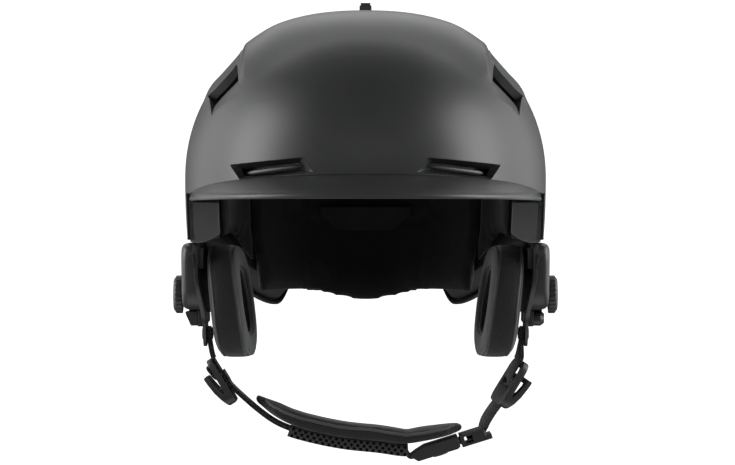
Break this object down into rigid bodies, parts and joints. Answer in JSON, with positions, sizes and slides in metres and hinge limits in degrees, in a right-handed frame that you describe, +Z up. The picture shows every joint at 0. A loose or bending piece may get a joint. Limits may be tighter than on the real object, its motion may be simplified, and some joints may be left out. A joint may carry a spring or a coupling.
{
  "type": "ski helmet",
  "caption": "Hard-shell ski helmet with brim, brow and crown vents, fit dial, padded ear cups with control pods, a goggle strap clip and a buckled chin strap.",
  "frame": {"origin": "where the top of the wearer's head meets the crown pad", "axes": "+Z up, -Y the way the face looks, +X the wearer's left"},
  "size_m": [0.2322, 0.3016, 0.276],
  "materials": {
    "shell": "matte, fine soft-touch",
    "trim": "satin",
    "foam": "moulded bead foam, matte",
    "mesh": "matte",
    "pad_fabric": "brushed knit",
    "label": "smooth patch",
    "webbing": "woven",
    "steel": "blackened",
    "cell": "wrapped",
    "board": "satin",
    "speaker": "matte"
  },
  "bodies": {
    "helmet": {"outer_shell": "shell", "brim": "shell", "temple_trim_left": "shell", "temple_trim_right": "shell", "edge_trim": "trim", "foam_liner": "foam", "brow_pad": "pad_fabric", "crown_pad": "pad_fabric", "rear_pad": "pad_fabric", "side_pad_left": "pad_fabric", "side_pad_right": "pad_fabric", "inner_patch": "label", "vent_rail": "trim", "brow_vent_left": "trim", "brow_vent_right": "trim", "rear_vent_mesh": "mesh", "fit_band": "trim", "fit_housing": "trim", "goggle_clip_base": "trim", "goggle_clip_pin": "steel", "ear_plate_left": "trim", "ear_plate_right": "trim", "ear_screws": "steel", "pod_cover_left": "trim", "pod_cover_right": "trim", "battery": "cell", "control_board": "board", "speaker_left": "speaker", "speaker_right": "speaker", "ear_pad_left": "pad_fabric", "ear_pad_right": "pad_fabric", "inner_strap_left": "webbing", "inner_strap_right": "webbing", "rivet_left": "steel", "rivet_right": "steel"},
    "vent_slider": {"vent_slider": "trim", "vent_shutter": "trim"},
    "dial_press_left": {"dial_hub_left": "trim"},
    "dial_left": {"dial_left": "trim"},
    "dial_press_right": {"dial_hub_right": "trim"},
    "dial_right": {"dial_right": "trim"},
    "button_left": {"button_left": "trim"},
    "button_right": {"button_right": "trim"},
    "fit_dial": {"fit_dial": "trim", "fit_pinion": "trim"},
    "fit_rack_left": {"fit_rack_left": "trim"},
    "fit_rack_right": {"fit_rack_right": "trim"},
    "goggle_flap": {"goggle_clip_flap": "trim"},
    "chin_loop": {"hanger_left": "webbing", "hanger_right": "webbing", "divider_left": "trim", "divider_right": "trim", "chin_strap_left": "webbing", "chin_strap_right": "webbing", "chin_pad": "pad_fabric", "pad_sleeve": "pad_fabric", "buckle_socket": "trim", "buckle_latch": "trim"},
    "buckle_plug": {"buckle_plug": "trim"}
  },
  "joints": [
    {"name": "vent_slide", "type": "slide", "parent": "helmet", "child": "vent_slider", "axis": [0, 1, 0], "range_m": [0, 0.012]},
    {"name": "dial_press_left_slide", "type": "slide", "parent": "helmet", "child": "dial_press_left", "axis": [-1, 0, 0], "range_m": [0, 0.0008], "stiffness_N_per_m": 600, "springref_m": -0.0012},
    {"name": "dial_left_turn", "type": "hinge", "parent": "dial_press_left", "child": "dial_left", "pos_m": [0.112, 0.001, -0.14], "axis": [1, 0, 0], "continuous": true},
    {"name": "dial_press_right_slide", "type": "slide", "parent": "helmet", "child": "dial_press_right", "axis": [1, 0, 0], "range_m": [0, 0.0008], "stiffness_N_per_m": 600, "springref_m": -0.0012},
    {"name": "dial_right_turn", "type": "hinge", "parent": "dial_press_right", "child": "dial_right", "pos_m": [-0.112, 0.001, -0.14], "axis": [1, 0, 0], "continuous": true},
    {"name": "button_left_press", "type": "slide", "parent": "helmet", "child": "button_left", "axis": [-1, 0, 0], "range_m": [0, 0.0008], "stiffness_N_per_m": 600, "springref_m": -0.0012},
    {"name": "button_right_press", "type": "slide", "parent": "helmet", "child": "button_right", "axis": [1, 0, 0], "range_m": [0, 0.0008], "stiffness_N_per_m": 600, "springref_m": -0.0012},
    {"name": "fit_dial_turn", "type": "hinge", "parent": "helmet", "child": "fit_dial", "pos_m": [0, 0.1042, -0.129], "axis": [0, -1, 0], "range_deg": [0, 91.6]},
    {"name": "fit_rack_left_slide", "type": "slide", "parent": "helmet", "child": "fit_rack_left", "axis": [-1, 0, 0], "range_m": [0, 0.008]},
    {"name": "fit_rack_right_slide", "type": "slide", "parent": "helmet", "child": "fit_rack_right", "axis": [1, 0, 0], "range_m": [0, 0.008]},
    {"name": "goggle_flap_hinge", "type": "hinge", "parent": "helmet", "child": "goggle_flap", "pos_m": [0, 0.14565, -0.06298], "axis": [1, 0, 0], "range_deg": [0, 100]},
    {"name": "chin_loop_swing", "type": "hinge", "parent": "helmet", "child": "chin_loop", "pos_m": [0, 0.001, -0.1635], "axis": [1, 0, 0], "range_deg": [-15, 15]},
    {"name": "buckle_plug_slide", "type": "slide", "parent": "chin_loop", "child": "buckle_plug", "axis": [0.9542, 0, 0.299], "range_m": [0, 0.004]}
  ],
  "couplings": [
    {"joint": "fit_rack_left_slide", "follows": "fit_dial_turn", "m_per_rad": 0.005},
    {"joint": "fit_rack_right_slide", "follows": "fit_dial_turn", "m_per_rad": 0.005}
  ]
}
